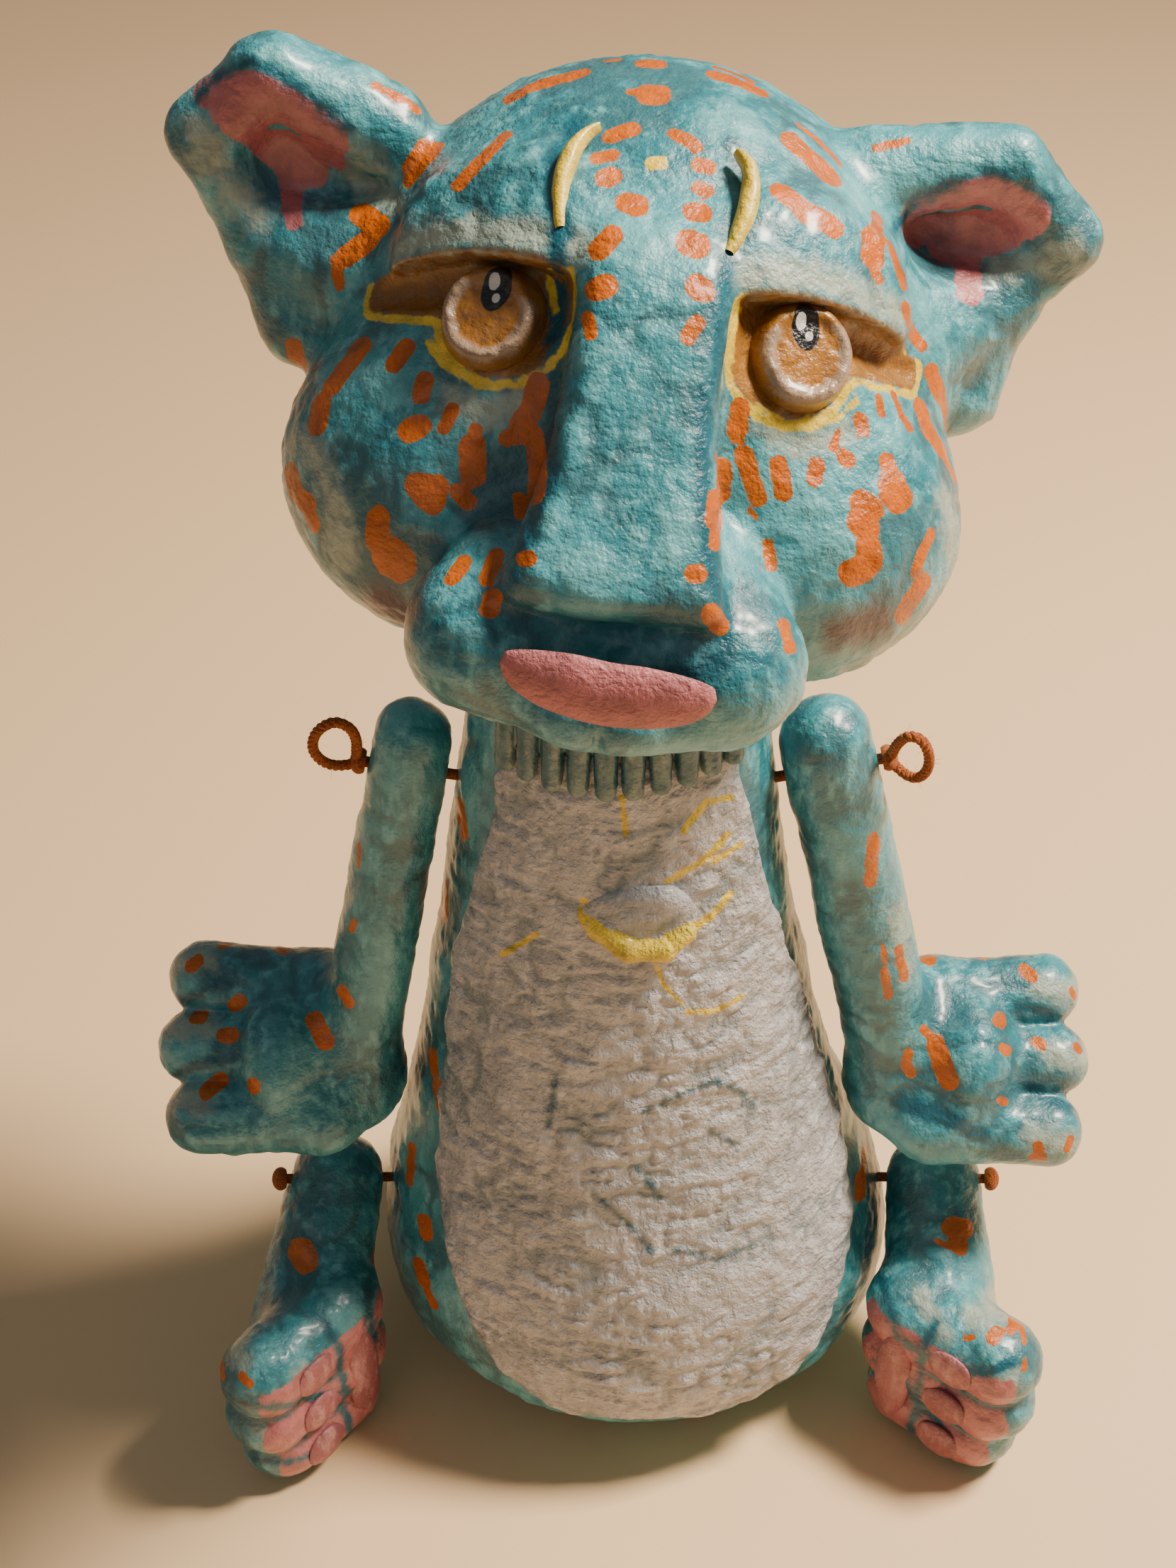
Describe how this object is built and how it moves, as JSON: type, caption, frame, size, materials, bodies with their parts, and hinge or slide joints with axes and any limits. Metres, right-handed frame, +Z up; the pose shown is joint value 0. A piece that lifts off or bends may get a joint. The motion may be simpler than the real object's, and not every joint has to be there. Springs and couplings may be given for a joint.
{
  "type": "alebrije figure",
  "caption": "Seated papier-mache big cat, turquoise with orange spots, its arms and legs strung on yarn so that they swing at shoulders and hips.",
  "frame": {"origin": "middle of the body's flat base, on the surface the figure sits on", "axes": "+Z up, the figure faces -Y, +X is on the right of a viewer who faces it"},
  "size_m": [0.2284, 0.1465, 0.3487],
  "materials": {
    "turquoise_paper": "brushed turquoise acrylic with orange spots over layered paper, varnished semi-gloss",
    "belly_paper": "crumpled paper painted off-white and lilac, pearly varnish",
    "yellow_paper": "rolled paper painted yellow, varnished",
    "pale_paper": "rolled paper painted cream over teal",
    "pink_paper": "paper painted dusty pink, satin",
    "eye_paper": "modelled paper painted amber and cream, glossy black pupil",
    "lid_paper": "paper painted cream-grey with a turquoise edge",
    "orange_yarn": "twisted woollen yarn, matt and fuzzy"
  },
  "bodies": {
    "torso": {"body_shell": "turquoise_paper", "belly_panel": "belly_paper", "chest_tuft": "yellow_paper", "beard_fringe": "pale_paper", "head_shell": "turquoise_paper", "muzzle": "turquoise_paper", "nose_pad": "pink_paper", "eyeball_left": "eye_paper", "eyeball_right": "eye_paper", "eye_rim_left": "eye_paper", "eye_rim_right": "eye_paper", "eyelid_left": "lid_paper", "eyelid_right": "lid_paper", "brow_ridge_left": "yellow_paper", "brow_ridge_right": "yellow_paper", "ear_left": "turquoise_paper", "ear_right": "turquoise_paper", "shoulder_cord": "orange_yarn", "hip_cord": "orange_yarn", "shoulder_knot_left": "orange_yarn", "shoulder_knot_right": "orange_yarn", "hip_knot_left": "orange_yarn", "hip_knot_right": "orange_yarn", "yarn_loop_left": "orange_yarn", "yarn_loop_right": "orange_yarn"},
    "arm_l": {"arm_left": "turquoise_paper"},
    "arm_r": {"arm_right": "turquoise_paper"},
    "leg_l": {"leg_left": "turquoise_paper", "sole_pads_left": "pink_paper"},
    "leg_r": {"leg_right": "turquoise_paper", "sole_pads_right": "pink_paper"}
  },
  "joints": [
    {"name": "shoulder_left_swing", "type": "hinge", "parent": "torso", "child": "arm_l", "pos_m": [-0.051, -0.003, 0.191], "axis": [-0.9824, 0, 0.1868], "range_deg": [-110, 110]},
    {"name": "shoulder_right_swing", "type": "hinge", "parent": "torso", "child": "arm_r", "pos_m": [0.043, -0.003, 0.1911], "axis": [-0.975, 0, -0.2222], "range_deg": [-110, 110]},
    {"name": "hip_left_swing", "type": "hinge", "parent": "torso", "child": "leg_l", "pos_m": [-0.076, -0.008, 0.057], "axis": [-0.957, -0.1989, 0.2113], "range_deg": [-100, 25]},
    {"name": "hip_right_swing", "type": "hinge", "parent": "torso", "child": "leg_r", "pos_m": [0.0785, -0.008, 0.057], "axis": [-0.9575, 0.1977, -0.21], "range_deg": [-100, 25]}
  ]
}
